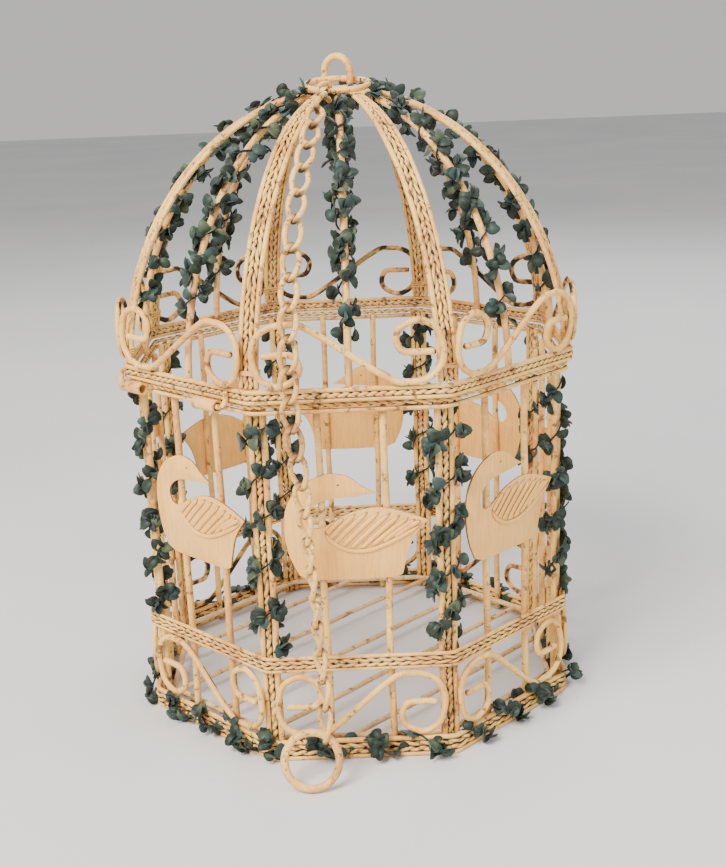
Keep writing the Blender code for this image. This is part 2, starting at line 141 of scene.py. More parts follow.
def agedPaint(name, look):
    # brushed cream paint: warm patches, brown rub and painted shade in the hollows, rubbed flecks
    paint = Finish(name, Specular_IOR_Level=0.42)
    broad = paint.grain(look["patchScale"], 3.0, 0.55)
    fine = paint.grain(430.0, 3.0, 0.6)
    fleck = paint.grain(look["fleckScale"], 4.0, 0.7)
    colour = paint.blendColours(broad.step(0.42, 0.62), look["light"], look["warm"])
    colour = paint.blendColours(fine.step(0.42, 0.75) * 0.35, colour, look["pale"])
    worn = fleck.step(look["wear"], look["wear"] + 0.07)
    colour = paint.blendColours(worn * look["wearDepth"], colour, look["rubbed"])
    # brown rub and painted shade in the hollows, blended to the near-black recess colour
    hollow = paint.attribute("hollow")
    brownShadeMark = (hollow * 1.25 + (fine - 0.5) * 0.5).step(0.34, 0.95)
    colour = paint.blendColours(brownShadeMark, colour, look["recessBrownShade"])
    height = fine * 0.5 + paint.grain(140.0, 2.0) * 0.8 - worn * 0.5
    paint.feed(
        Base_Color=colour,
        Roughness=(brownShadeMark * 0.25 + broad * 0.14 + look["roughness"]).clamped(),
        Normal=paint.bump(height, 0.55, 0.0004),
    )
    return paint.material


# the recess colour is near-black brown used as painted shade in the hollows, with the brown rub
wireLook = {
    "light": (0.88, 0.53, 0.135), "warm": (0.66, 0.30, 0.070), "pale": (1.0, 0.77, 0.30),
    "rubbed": (0.16, 0.065, 0.022), "recessBrownShade": (0.022, 0.010, 0.005),
    "patchScale": 34.0, "fleckScale": 170.0, "wear": 0.565, "wearDepth": 0.85, "roughness": 0.40,
}
creamWire = agedPaint("creamWire", wireLook)
pinkWire = agedPaint("pinkCreamWire", {**wireLook, "light": (0.84, 0.48, 0.14), "warm": (0.64, 0.29, 0.09),
                                      "patchScale": 40.0})
chainPaint = agedPaint("chainPaint", {**wireLook, "light": (0.84, 0.49, 0.135), "warm": (0.50, 0.21, 0.055),
                                     "patchScale": 22.0, "fleckScale": 260.0, "wear": 0.56})
floorPaint = agedPaint("floorRodPaint", {**wireLook, "light": (0.72, 0.48, 0.23), "warm": (0.56, 0.34, 0.16)})


def swanPaint():
    # buff paint drawn down the sheet, with brown and painted shade at the cut edges and between the feathers
    paint = Finish("swanPaint", Specular_IOR_Level=0.38)
    broad = paint.grain(34.0, 3.0, 0.5)
    streak = paint.grain(1.0, 3.0, 0.6, stretch=(900.0, 900.0, 70.0))
    fine = paint.grain(600.0, 2.0)
    colour = paint.blendColours(broad.step(0.35, 0.68), (0.92, 0.50, 0.125), (0.86, 0.43, 0.095))
    colour = paint.blendColours(streak.step(0.50, 0.74) * 0.55, colour, (0.62, 0.33, 0.11))
    colour = paint.blendColours(streak.step(0.48, 0.26) * 0.35, colour, (0.97, 0.64, 0.26))
    # brown and painted shade at the cut edges and in the grooves
    hollow = paint.attribute("hollow")
    brownShadeMark = (hollow * 1.3 + (fine - 0.5) * 0.5).step(0.40, 1.05)
    colour = paint.blendColours(brownShadeMark, colour, (0.16, 0.068, 0.022))
    height = streak * 0.8 + fine * 0.3
    paint.feed(
        Base_Color=colour,
        Roughness=(streak * 0.18 + 0.44).clamped(),
        Normal=paint.bump(height, 0.45, 0.00025),
    )
    return paint.material


def leafPaint():
    # each leaf has its own tint from dark green through teal to sage
    paint = Finish("leafCloth", Specular_IOR_Level=0.30, Sheen_Weight=0.12)
    tint = paint.attribute("tint")
    ramp = paint.node("ShaderNodeValToRGB", {"stops": [
        (0.00, (0.004, 0.009, 0.007)), (0.34, (0.007, 0.019, 0.014)), (0.58, (0.012, 0.034, 0.030)),
        (0.78, (0.024, 0.058, 0.060)), (0.90, (0.036, 0.066, 0.036)), (1.00, (0.090, 0.105, 0.052)),
    ]}, Fac=tint)
    blotch = paint.grain(260.0, 3.0, 0.6)
    colour = paint.blendColours(blotch.step(0.45, 0.75) * 0.4, ramp, (0.026, 0.038, 0.024))
    vein = paint.attribute("vein")
    colour = paint.blendColours(vein * 0.35, colour, (0.05, 0.07, 0.042))
    paint.feed(
        Base_Color=colour,
        Roughness=(blotch * 0.25 + 0.42).clamped(),
        Normal=paint.bump(blotch + vein * 0.6, 0.4, 0.0003),
    )
    return paint.material


def tableTop():
    paint = Finish("paleTable", Specular_IOR_Level=0.25, Roughness=0.62)
    shade = paint.grain(3.0, 4.0)
    paint.feed(Base_Color=paint.blendColours(shade.step(0.3, 0.7), (0.60, 0.60, 0.62), (0.66, 0.66, 0.67)))
    return paint.material


swanMaterial = swanPaint()
leafMaterial = leafPaint()
print("finishes ready")


def sideFrame(angle, apothem=0.0):
    # X runs right along a side seen from outside, Y up, Z outwards
    out = Vector((cos(angle), sin(angle), 0.0))
    right = Vector((-sin(angle), cos(angle), 0.0))
    made = Matrix((right, upward, out)).transposed().to_4x4()
    made.translation = out * apothem
    return made


def throughPoints(points, steps):
    # Catmull-Rom through the given points
    ends = [2 * points[0] - points[1], *points, 2 * points[-1] - points[-2]]
    route = []
    for a, b, c, d in zip(ends, ends[1:], ends[2:], ends[3:]):
        for i in range(steps):
            t = i / steps
            route.append(0.5 * (2 * b + (c - a) * t + (2 * a - 5 * b + 4 * c - d) * t * t
                                + (3 * b - a - 3 * c + d) * t ** 3))
    route.append(points[-1].copy())
    return route


def evenly(points, count, closed=False):
    # count points at even steps, the end of a closed path left out
    path = points + [points[0]] if closed else points
    lengths = [0.0]
    for a, b in zip(path, path[1:]):
        lengths.append(lengths[-1] + (b - a).length)
    picked = []
    i = 1
    for k in range(count):
        goal = lengths[-1] * k / (count if closed else count - 1)
        while i < len(path) - 1 and lengths[i] < goal:
            i += 1
        share = (goal - lengths[i - 1]) / (lengths[i] - lengths[i - 1])
        picked.append(path[i - 1].lerp(path[i], share))
    return picked


def framesAlong(points, ups, closed=False):
    # columns: across, out, along
    made = []
    last = len(points) - 1
    for i, point in enumerate(points):
        before = points[i - 1] if i or closed else point
        after = points[(i + 1) % len(points)] if i < last or closed else point
        along = (after - before).normalized()
        up = ups[i] if isinstance(ups, list) else ups
        out = (up - along * up.dot(along)).normalized()
        turn = Matrix((out.cross(along), out, along)).transposed().to_4x4()
        turn.translation = point
        made.append(turn)
    return made


def pour(bm, part):
    # move a small finished bmesh into a bigger one
    mesh = bpy.data.meshes.new("poured")
    part.to_mesh(mesh)
    part.free()
    bm.from_mesh(mesh)
    bpy.data.meshes.remove(mesh)


def startMesh():
    bm = bmesh.new()
    # the first layer holds brown rub and painted shade for the hollows; tint and vein are for the leaves
    for name in ("hollow", "tint", "vein"):
        bm.verts.layers.float.new(name)
    return bm


def layWire(bm, points, ups, radius, sides=10, closed=False, brownShadeMark=None):
    # a round wire: a circle extruded from station to station; open ends are rounded over
    points = list(points)
    radii = list(radius) if isinstance(radius, list) else [radius] * len(points)
    ups = list(ups) if isinstance(ups, list) else ups
    if not closed:
        for end, inner in ((0, 1), (-1, -2)):
            edge = points[end]
            step = (points[inner] - edge)
            inside = edge + step.normalized() * min(0.5 * radii[end], step.length * 0.45)
            points.insert(1 if end == 0 else len(points) - 1, inside)
            radii.insert(1 if end == 0 else len(radii) - 1, radii[end])
            radii[end] *= 0.62
            if isinstance(ups, list):
                ups.insert(end if end == 0 else len(ups), ups[end])
    frames = framesAlong(points, ups, closed)
    part = startMesh()
    made = bmesh.ops.create_circle(part, cap_ends=not closed, segments=sides, radius=radii[0], matrix=frames[0])
    verts = made["verts"]
    rings = [verts]
    edges = list(part.edges)
    firstEdges = edges
    for i in range(1, len(frames)):
        grown = bmesh.ops.extrude_edge_only(part, edges=edges)["geom"]
        verts = [item for item in grown if isinstance(item, bmesh.types.BMVert)]
        fresh = set(verts)
        edges = [item for item in grown if isinstance(item, bmesh.types.BMEdge)
                 and item.verts[0] in fresh and item.verts[1] in fresh]
        move = frames[i] @ Matrix.Scale(radii[i] / radii[i - 1], 4) @ frames[i - 1].inverted()
        for vert in verts:
            vert.co = move @ vert.co
        rings.append(verts)
    if closed:
        bmesh.ops.bridge_loops(part, edges=firstEdges + edges)
    else:
        bmesh.ops.contextual_create(part, geom=edges)
    bmesh.ops.recalc_face_normals(part, faces=part.faces)
    # how much brown and painted shade each vertex gets
    if brownShadeMark:
        layer = part.verts.layers.float["hollow"]
        last = len(rings) - 1
        for i, ring in enumerate(rings):
            for vert in ring:
                vert[layer] = brownShadeMark(vert.co, i / last)
    pour(bm, part)


def finishPiece(bm, name, material, body, slot, nodes, sharp=None):
    mesh = bpy.data.meshes.new(name)
    bm.to_mesh(mesh)
    bm.free()
    return finishMesh(mesh, name, material, body, slot, nodes, sharp)


def finishMesh(mesh, name, material, body, slot, nodes, sharp=None):
    mesh.shade_smooth()
    if sharp:
        mesh.set_sharp_from_angle(angle=radians(sharp))
    mesh.materials.clear()
    mesh.materials.append(material)
    piece = bpy.data.objects.new(name, mesh)
    bpy.context.scene.collection.objects.link(piece)
    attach(piece, body)
    if nodes:
        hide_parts(*nodes)
    return piece


def repeatRound(bm, prefix, nodePrefix, angles, material, body, slot, sharp=None, mirrors=None):
    # the same piece, in its side's own place, on every side
    base = bpy.data.meshes.new(prefix)
    bm.to_mesh(base)
    bm.free()
    for k, angle in enumerate(angles):
        mesh = base.copy()
        flip = mirrors and mirrors[k] < 0
        place = sideFrame(angle)
        if flip:
            place = place @ Matrix.Scale(-1, 4, (1, 0, 0))
        mesh.transform(place)
        if flip:
            mesh.flip_normals()
        finishMesh(mesh, "%s_%d" % (prefix, k + 1), material, body, slot,
                   ["%s_%d" % (nodePrefix, k + 1)], sharp)
    bpy.data.meshes.remove(base)


def plaitedStrip(bm, points, ups, lanes, pitch, half, closed=False, spread=None):
    # wires side by side: plain ones, and pairs twisted round each other, in one flat strip;
    # brown and painted shade lie in the depth of the strip, away from its clean rims
    frames = framesAlong(points, ups, closed)
    origins = [f.translation.copy() for f in frames]
    acrosses = [f.to_3x3().col[0] for f in frames]
    outs = [f.to_3x3().col[1] for f in frames]
    wide = spread or [1.0] * len(points)
    thick = max(lane["radius"] for lane in lanes)
    count = len(points)
    cleanRim = 0.0016

    def brownShadeAt(picks):
        def brownShadeMark(spot, share):
            i = picks[min(len(picks) - 1, round(share * (len(picks) - 1)))]
            offset = spot - origins[i]
            depth = 1.0 - min(1.0, abs(offset.dot(outs[i])) / (thick * wide[i] ** 0.5))
            reach = abs(offset.dot(acrosses[i])) / wide[i]
            inside = 1.0 - min(1.0, max(0.0, (reach - half + cleanRim) / cleanRim))
            return depth ** 1.3 * inside
        return brownShadeMark

    plainStep = 3
    for lane in lanes:
        if not lane["twist"]:
            picks = list(range(0, count, plainStep))
            if not closed and picks[-1] != count - 1:
                picks.append(count - 1)
            line = [origins[i] + acrosses[i] * lane["at"] * wide[i] for i in picks]
            radii = [lane["radius"] * wide[i] ** 0.5 for i in picks]
            layWire(bm, line, [outs[i] for i in picks], radii, 8, closed, brownShadeAt(picks))
            continue
        picks = list(range(count))
        for strand in (0, 1):
            line = []
            for i in picks:
                share = 2 * pi * i / count
                uneven = 0.9 * sin(5 * share + lane["at"] * 900) + 0.6 * sin(13 * share + lane["at"] * 400)
                angle = lane["twist"] * (2 * pi * i / pitch + uneven) + pi * strand + lane.get("phase", 0.0)
                reach = lane["radius"] * 0.42 * wide[i] ** 0.5
                line.append(origins[i] + acrosses[i] * (lane["at"] * wide[i] + reach * cos(angle))
                            + outs[i] * reach * sin(angle))
            radii = [lane["radius"] * 0.62 * wide[i] ** 0.5 for i in picks]
            layWire(bm, line, [outs[i] for i in picks], radii, 6, closed, brownShadeAt(picks))


cornerBend = 0.006


def octagonPath(apothem, height, bend=cornerBend):
    # a closed octagon with rounded corners
    flatSteps, cornerSteps = 12, 5
    points = []
    for angle in faceAngles:
        out = Vector((cos(angle), sin(angle), 0))
        right = Vector((-sin(angle), cos(angle), 0))
        flat = (apothem - bend) * halfSide
        for i in range(flatSteps):
            points.append(out * apothem + right * flat * (2 * i / flatSteps - 1) + upward * height)
        corner = out * (apothem - bend) + right * flat
        for i in range(cornerSteps):
            turn = angle + radians(45) * i / cornerSteps
            points.append(corner + Vector((cos(turn), sin(turn), 0)) * bend + upward * height)
    return points


def outwardAt(points, apothem, bend=cornerBend):
    # the way out of the octagon at each point of its path
    outs = []
    for point in points:
        best = max(faceAngles, key=lambda a: cos(a) * point.x + sin(a) * point.y)
        out = Vector((cos(best), sin(best), 0))
        right = Vector((-sin(best), cos(best), 0))
        flat = (apothem - bend) * halfSide
        shift = point.dot(right)
        if abs(shift) > flat:
            corner = out * (apothem - bend) + right * (flat if shift > 0 else -flat)
            out = Vector((point.x - corner.x, point.y - corner.y, 0)).normalized()
        outs.append(out)
    return outs


binding = {"steps": 20, "squareness": 1.25, "rise": 2.1, "slant": 0.9, "sides": 6}


def wrapRound(bm, middle, across, out, halfWide, halfThick, radius, turns=2):
    # a few turns of fine wire bound round a strip
    along = across.cross(out).normalized()
    for turn in range(turns):
        loop = []
        for i in range(binding["steps"]):
            t = 2 * pi * i / binding["steps"]
            squareX = max(-1.0, min(1.0, binding["squareness"] * cos(t)))
            squareY = max(-1.0, min(1.0, binding["squareness"] * sin(t)))
            shift = binding["rise"] * turn + binding["slant"] * sin(t + turn)
            loop.append(middle + across * halfWide * squareX + out * halfThick * squareY + along * radius * shift)
        layWire(bm, loop, along, radius, binding["sides"], True)


def blob(bm, middle, size, seed=0, stretch=(1, 1, 1)):
    # a little run of solder under paint
    lumps = 0.22
    part = startMesh()
    bmesh.ops.create_icosphere(part, subdivisions=2, radius=size)
    for vert in part.verts:
        rough = 1.0 + lumps * noise.noise(vert.co * (1.1 / size) + Vector((seed, 0, seed * 0.7)))
        vert.co = Vector([c * s * rough for c, s in zip(vert.co, stretch)]) + middle
    pour(bm, part)


view = {"eye": (0.00247, -0.7502, 0.3625), "aim": (0.0, 0.0, 0.1430), "roll": -2.33,
        "lens": 54.98, "shift": (0.0130, 0.0060)}
forward = (Vector(view["aim"]) - Vector(view["eye"])).normalized()
level = forward.cross(upward).normalized()
above = level.cross(forward)
tip = radians(view["roll"])
camX = level * cos(tip) + above * sin(tip)
camY = above * cos(tip) - level * sin(tip)
camera = bpy.data.objects.new("camera", bpy.data.cameras.new("camera"))
camera.matrix_world = Matrix.Translation(view["eye"]) @ Matrix((camX, camY, -forward)).transposed().to_4x4()
camera.data.lens = view["lens"]
camera.data.sensor_width = 36.0
camera.data.shift_x, camera.data.shift_y = view["shift"]
camera.data.clip_start = 0.01
bpy.context.scene.collection.objects.link(camera)
bpy.context.scene.camera = camera

rails = {
    "bottomRail": {"node": "bottom_rail", "body": "cage", "apothem": 0.1185, "height": 0.0060, "half": 0.0060,
                   "turns": 52, "perTurn": 13, "lanes": [
                       {"at": 0.0046, "radius": 0.0014, "twist": 0},
                       {"at": 0.0016, "radius": 0.0016, "twist": 1},
                       {"at": -0.0016, "radius": 0.0016, "twist": -1},
                       {"at": -0.0046, "radius": 0.0014, "twist": 0}]},
    "waistRail": {"node": "waist_rail", "body": "cage", "apothem": 0.1185, "height": 0.05575, "half": 0.00445,
                  "turns": 62, "perTurn": 13, "lanes": [
                      {"at": 0.00345, "radius": 0.0010, "twist": 0},
                      {"at": 0.00122, "radius": 0.0013, "twist": 1},
                      {"at": -0.00122, "radius": 0.0013, "twist": -1},
                      {"at": -0.00345, "radius": 0.0010, "twist": 0}]},
    "bodyTopRail": {"node": "body_top_rail", "body": "cage", "apothem": 0.1185, "height": 0.1945, "half": 0.0036,
                    "turns": 70, "perTurn": 10, "lanes": [
                        {"at": 0.0012, "radius": 0.0014, "twist": 1},
                        {"at": -0.0020, "radius": 0.0013, "twist": 0}]},
    "lidRail": {"node": "lid_rail", "body": "lid", "apothem": 0.1208, "height": 0.2010, "half": 0.0036,
                "turns": 84, "perTurn": 10, "lanes": [
                    {"at": 0.0026, "radius": 0.0013, "twist": 0},
                    {"at": 0.0000, "radius": 0.0015, "twist": -1},
                    {"at": -0.0026, "radius": 0.0012, "twist": 0}]},
}
for name, rail in rails.items():
    bm = startMesh()
    stations = evenly(octagonPath(rail["apothem"], rail["height"]), rail["turns"] * rail["perTurn"], True)
    outs = outwardAt(stations, rail["apothem"])
    plaitedStrip(bm, stations, outs, rail["lanes"], rail["perTurn"], rail["half"], True)
    finishPiece(bm, name, creamWire, rail["body"], "wirework", [rail["node"]])
print("rails plaited")

ribStrip = {"half": 0.0054, "pitch": 0.0112, "perTurn": 10, "lanes": [
    {"at": 0.0041, "radius": 0.0014, "twist": 0},
    {"at": 0.0014, "radius": 0.0015, "twist": 1},
    {"at": -0.0014, "radius": 0.0015, "twist": -1, "phase": 0.35},
    {"at": -0.0041, "radius": 0.0014, "twist": 0}]}
postStrip = {"half": 0.0054, "pitch": 0.0104, "perTurn": 10, "lanes": [
    {"at": 0.0036, "radius": 0.0018, "twist": 0},
    {"at": 0.0, "radius": 0.0018, "twist": 1},
    {"at": -0.0036, "radius": 0.0018, "twist": 0}]}
post = {"radius": 0.12235, "foot": 0.0008, "top": 0.1953}
dome = {"base": 0.1980, "radius": 0.1298, "height": 0.1466, "foot": 0.2052,
        "ribTop": 0.0133, "fullWidth": 0.070, "topSpread": 0.46}

bm = startMesh()
count = int((post["top"] - post["foot"]) / postStrip["pitch"] * postStrip["perTurn"])
line = [Vector((0.00025 * sin(i * 0.09), post["foot"] + (post["top"] - post["foot"]) * i / count, post["radius"]))
        for i in range(count + 1)]
plaitedStrip(bm, line, Vector((0, 0, 1)), postStrip["lanes"], postStrip["perTurn"], postStrip["half"])
repeatRound(bm, "cornerPost", "corner_post", postAngles, creamWire, "cage", "wirework")


def domePoint(reach, inset=0.0):
    height = dome["base"] + dome["height"] * sqrt(max(0.0, 1 - (reach / dome["radius"]) ** 2))
    lean = Vector((0, (height - dome["base"]) / dome["height"] ** 2, reach / dome["radius"] ** 2)).normalized()
    return Vector((0, height, reach)) - lean * inset, lean


bm = startMesh()
reaches = [dome["ribTop"] + (dome["radius"] * 0.9985 - dome["ribTop"]) * cos(pi / 2 * i / 60) for i in range(61)]
line = [domePoint(reach, 0.0016)[0] for reach in reaches]
line[0] = Vector((0, dome["foot"], dome["radius"] - 0.0018))
length = sum((b - a).length for a, b in zip(line, line[1:]))
count = int(length / ribStrip["pitch"] * ribStrip["perTurn"])
line = evenly(line, count + 1)
ups = []
for point in line:
    lean = Vector((0, (point.y - dome["base"]) / dome["height"] ** 2, point.z / dome["radius"] ** 2))
    ups.append(lean.normalized())
spread = [dome["topSpread"] + (1 - dome["topSpread"])
          * min(1.0, max(0.0, (point.z - dome["ribTop"]) / (dome["fullWidth"] - dome["ribTop"]))) for point in line]
plaitedStrip(bm, line, ups, ribStrip["lanes"], ribStrip["perTurn"], ribStrip["half"], spread=spread)
wrapRound(bm, line[8], Vector((1, 0, 0)), ups[8], 0.0056, 0.0017, 0.0005, 3)
repeatRound(bm, "cornerRib", "corner_rib", postAngles, creamWire, "lid", "wirework")
print("posts and ribs plaited")

thinRib = {"foot": 0.1168, "rise": 0.1442, "wire": 0.0019}
bm = startMesh()
for k, angle in enumerate(faceAngles):
    place = sideFrame(angle)
    line = []
    for i in range(33):
        t = i / 32 * (pi / 2 - 0.045)
        wobble = 0.0006 * sin(2.3 * t + 1.7 * k)
        line.append(place @ Vector((wobble, dome["base"] + 0.0004 + thinRib["rise"] * sin(t),
                                    thinRib["foot"] * cos(t))))
    layWire(bm, line, place.to_3x3() @ Vector((1, 0, 0)), thinRib["wire"], 10)
blob(bm, Vector((0, 0, 0.3421)), 0.0108, 3, (1.0, 1.0, 0.27))
for k, angle in enumerate(postAngles):
    blob(bm, Vector((0.0102 * cos(angle), 0.0102 * sin(angle), 0.3424)), 0.0031, k, (1.1, 1.1, 0.8))
finishPiece(bm, "thinRibsAndHub", pinkWire, "lid", "wirework", ["mid_ribs"])

loop = {"wire": 0.00185, "legs": ((0.0070, -0.0030), (-0.0070, 0.0070)), "foot": 0.3454, "top": 0.3620}
bm = startMesh()
first, second = [Vector((x, y, 0)) for x, y in loop["legs"]]
middle, across = (first + second) / 2, (first - second) / 2
spring = loop["top"] - loop["wire"] - across.length
line = [first + upward * loop["foot"], first + upward * (loop["foot"] + spring) / 2]
for i in range(21):
    t = i / 20 * pi
    line.append(middle + across * cos(t) + upward * (spring + across.length * sin(t)))
line += [second + upward * (loop["foot"] + spring) / 2, second + upward * loop["foot"]]
layWire(bm, line, across.cross(upward).normalized(), loop["wire"], 14)
finishPiece(bm, "hangingLoop", creamWire, "lid", "wirework", ["hanging_loop"])


def addRing(name, node, body, slot, ring, material):
    bm = startMesh()
    turn = Matrix.Translation(ring["middle"]) @ Matrix.Rotation(radians(ring["tilt"]), 4, "X")
    line = [turn @ Vector((ring["radius"] * cos(2 * pi * i / 48), ring["radius"] * sin(2 * pi * i / 48), 0))
            for i in range(48)]
    layWire(bm, line, turn.to_3x3() @ upward, ring["wire"], 14, True)
    finishPiece(bm, name, material, body, slot, [node])


addRing("apexRing", "apex_ring", "apex_ring", "wirework",
        {"middle": (0.0, -0.0130, 0.3456), "radius": 0.0172, "wire": 0.0016, "tilt": 9.0}, creamWire)
addRing("endRing", "end_ring", "end_ring", "chain",
        {"middle": (-0.0265, -0.1460, 0.0151), "radius": 0.0141, "wire": 0.0021, "tilt": 64.0}, chainPaint)
print("dome closed")

scroll = {"wire": 0.0017, "depth": 0.0162, "end": [
    (-0.0167, -0.0130), (-0.0053, -0.0160), (0.0040, -0.0143), (0.0100, -0.0085), (0.0118, 0.0000),
    (0.0092, 0.0104), (0.0040, 0.0150), (-0.0020, 0.0160), (-0.0091, 0.0123), (-0.0113, 0.0072),
    (-0.0097, 0.0018), (-0.0059, -0.0004), (0.0073, -0.0002)]}
scrollSets = {
    "upperScroll": {"node": "upper_scroll", "body": "lid", "apothem": 0.1230, "middle": 0.2219, "rise": 0.95,
                    "endAt": 0.0350, "first": 1},
    "lowerScroll": {"node": "lower_scroll", "body": "cage", "apothem": 0.1189, "middle": 0.0317, "rise": 1.05,
                    "endAt": 0.0325, "first": -1},
}
for name, kind in scrollSets.items():
    half = [Vector((x + kind["endAt"], y * kind["rise"], 0)) for x, y in scroll["end"]]
    line = throughPoints([-p for p in reversed(half)] + half, 7)
    line = [Vector((p.x, p.y + kind["middle"], kind["apothem"] + 0.0002 * sin(p.x * 180))) for p in line]

    def backBrownShade(spot, share, depth=kind["apothem"]):
        # painted shade with old brown along the sides and back, broken up
        rough = noise.noise(spot * 160.0) + 0.6 * noise.noise(spot * 420.0)
        return max(0.0, min(1.0, (depth + 0.0003 - spot.z) / 0.0010)) * max(0.0, 0.55 + 0.8 * rough)

    bm = startMesh()
    layWire(bm, line, Vector((0, 0, 1)), scroll["wire"], 12, brownShadeMark=backBrownShade)
    low = kind["middle"] - scroll["depth"] * kind["rise"]
    for side in (-1, 1):
        blob(bm, Vector((side * kind["endAt"] * 1.02, low - 0.0004, kind["apothem"])), 0.0017, side, (1.5, 0.8, 0.9))
    mirrors = [kind["first"] if k % 2 == 0 else -kind["first"] for k in range(8)]
    repeatRound(bm, name, kind["node"], faceAngles, creamWire, kind["body"], "wirework", mirrors=mirrors)
print("scrolls bent")

swan = {
    "foot": 0.1020, "face": 0.1174, "thick": 0.0014,
    "outline": [
        (-0.0225, 0.0003), (0.0000, 0.0000), (0.0205, 0.0003), (0.0240, 0.0022), (0.0262, 0.0110),
        (0.0300, 0.0215), (0.0375, 0.0310), (0.0260, 0.0355), (0.0140, 0.0385), (0.0040, 0.0378),
        (-0.0060, 0.0345), (-0.0150, 0.0292), (-0.0205, 0.0285), (-0.0236, 0.0315), (-0.0236, 0.0365),
        (-0.0195, 0.0410), (-0.0120, 0.0438), (-0.0008, 0.0446), (0.0110, 0.0463), (0.0046, 0.0500),
        (-0.0028, 0.0556), (-0.0130, 0.0572), (-0.0240, 0.0530), (-0.0310, 0.0465), (-0.0350, 0.0380),
        (-0.0358, 0.0260), (-0.0335, 0.0130), (-0.0290, 0.0030)],
    "corners": (0, 2, 3, 6, 18, 27),
    "wingRim": [(-0.0150, 0.0285), (-0.0142, 0.0240), (-0.0100, 0.0195), (-0.0030, 0.0160), (0.0060, 0.0156),
                (0.0140, 0.0180), (0.0230, 0.0222), (0.0310, 0.0268), (0.0372, 0.0309)],
    "feathers": [
        ((-0.0136, 0.0262), (-0.0050, 0.0338)), ((-0.0122, 0.0232), (0.0015, 0.0362)),
        ((-0.0098, 0.0206), (0.0080, 0.0373)), ((-0.0062, 0.0186), (0.0140, 0.0373)),
        ((-0.0018, 0.0174), (0.0196, 0.0364)), ((0.0034, 0.0172), (0.0246, 0.0350)),
        ((0.0090, 0.0184), (0.0288, 0.0334)), ((0.0148, 0.0203), (0.0320, 0.0322)),
        ((0.0206, 0.0228), (0.0346, 0.0312))],
    "ridge": 0.00136, "rim": 0.0013, "ridgeLift": 0.0005, "underRim": 0.0012,
    # the eye, then three studs on the breast: place, size and how brown
    "studs": ((-0.0075, 0.0512, 0.0010, 0.75), (-0.0292, 0.0275, 0.0008, 0.35),
              (-0.0278, 0.0215, 0.0008, 0.35), (-0.0250, 0.0160, 0.0008, 0.35)),
}
bar = {"apothem": 0.1146, "offset": 0.0166, "wire": 0.0019, "foot": 0.0008, "top": 0.1953, "steps": 14,
       "sway": 0.0004, "welds": (0.104, 0.131), "weld": 0.0019}


def swanOutline():
    # smooth between the marked corners, sharp at them
    marks = list(swan["corners"])
    points = [Vector((x, y, 0)) for x, y in swan["outline"]]
    made = []
    for a, b in zip(marks, marks[1:] + [marks[0] + len(points)]):
        run = [points[i % len(points)] for i in range(a, b + 1)]
        made += throughPoints(run, 4)[:-1] if len(run) > 2 else [run[0]]
    return made


bm = startMesh()
part = startMesh()
rim = [part.verts.new(p) for p in swanOutline()]
plate = part.faces.new(rim)
bmesh.ops.recalc_face_normals(part, faces=[plate])
grown = bmesh.ops.extrude_face_region(part, geom=[plate])["geom"]
front = [item for item in grown if isinstance(item, bmesh.types.BMVert)]
bmesh.ops.translate(part, vec=(0, 0, swan["thick"]), verts=front)
bmesh.ops.recalc_face_normals(part, faces=part.faces)
edge = [e for e in part.edges if not e.is_boundary and abs(e.verts[0].co.z - e.verts[1].co.z) < 0.0001]
bmesh.ops.bevel(part, geom=edge, offset=0.00035, segments=2, profile=0.5, affect="EDGES", material=-1)
brownShadeLayer = part.verts.layers.float["hollow"]
# the sheet's cut edges get brown and painted shade, the faces only a little
for vert in part.verts:
    vert[brownShadeLayer] = 0.75 if 0.0002 < vert.co.z < swan["thick"] - 0.0002 else 0.05
pour(bm, part)
face = swan["thick"]
rimLine = throughPoints([Vector((x, y, face / 2)) for x, y in swan["wingRim"]], 5)
count = len(rimLine)
taper = [min(1.0, 0.30 + 4.0 * min(i, count - 1 - i) / count) for i in range(count)]
rimLine = [Vector((p.x, p.y, face / 2 + swan["ridgeLift"] * (t - 0.30) / 0.70)) for p, t in zip(rimLine, taper)]


def grooveBrownShade(spot, share):
    # brown and painted shade where a ridge meets the sheet, faint on the back
    ends = min(1.0, 9.0 * (1.0 - share))
    if spot.z < face / 2:
        return 0.2 * ends
    return 0.85 * ends * max(0.0, min(1.0, (face + 0.0008 - spot.z) / 0.0007))


layWire(bm, rimLine, Vector((0, 0, 1)), [swan["rim"] * t for t in taper], 10, brownShadeMark=grooveBrownShade)
for a, b in swan["feathers"]:
    start, end = Vector((*a, face / 2)), Vector((*b, face / 2))
    start += (start - end).normalized() * swan["underRim"]
    taper = [min(1.0, 0.30 + 8.0 * i / 12, 0.30 + 3.2 * (12 - i) / 12) for i in range(13)]
    line = [start.lerp(end, i / 12)
            + Vector((0, 0.0006 * sin(pi * i / 12), swan["ridgeLift"] * (taper[i] - 0.30) / 0.70))
            for i in range(13)]
    layWire(bm, line, Vector((0, 0, 1)), [swan["ridge"] * t for t in taper], 14, brownShadeMark=grooveBrownShade)
for x, y, size, brown in swan["studs"]:
    part = startMesh()
    bmesh.ops.create_uvsphere(part, u_segments=10, v_segments=6, radius=size)
    bmesh.ops.scale(part, vec=(1.3, 0.9, face / 2 / size + 0.22), verts=part.verts)
    bmesh.ops.translate(part, vec=(x, y, face / 2), verts=part.verts)
    for vert in part.verts:
        vert[part.verts.layers.float["hollow"]] = brown
    pour(bm, part)
bmesh.ops.translate(bm, vec=(0, swan["foot"], swan["face"] - face), verts=bm.verts)
swanBase = bpy.data.meshes.new("swanBase")
bm.to_mesh(swanBase)
bm.free()
bm = startMesh()
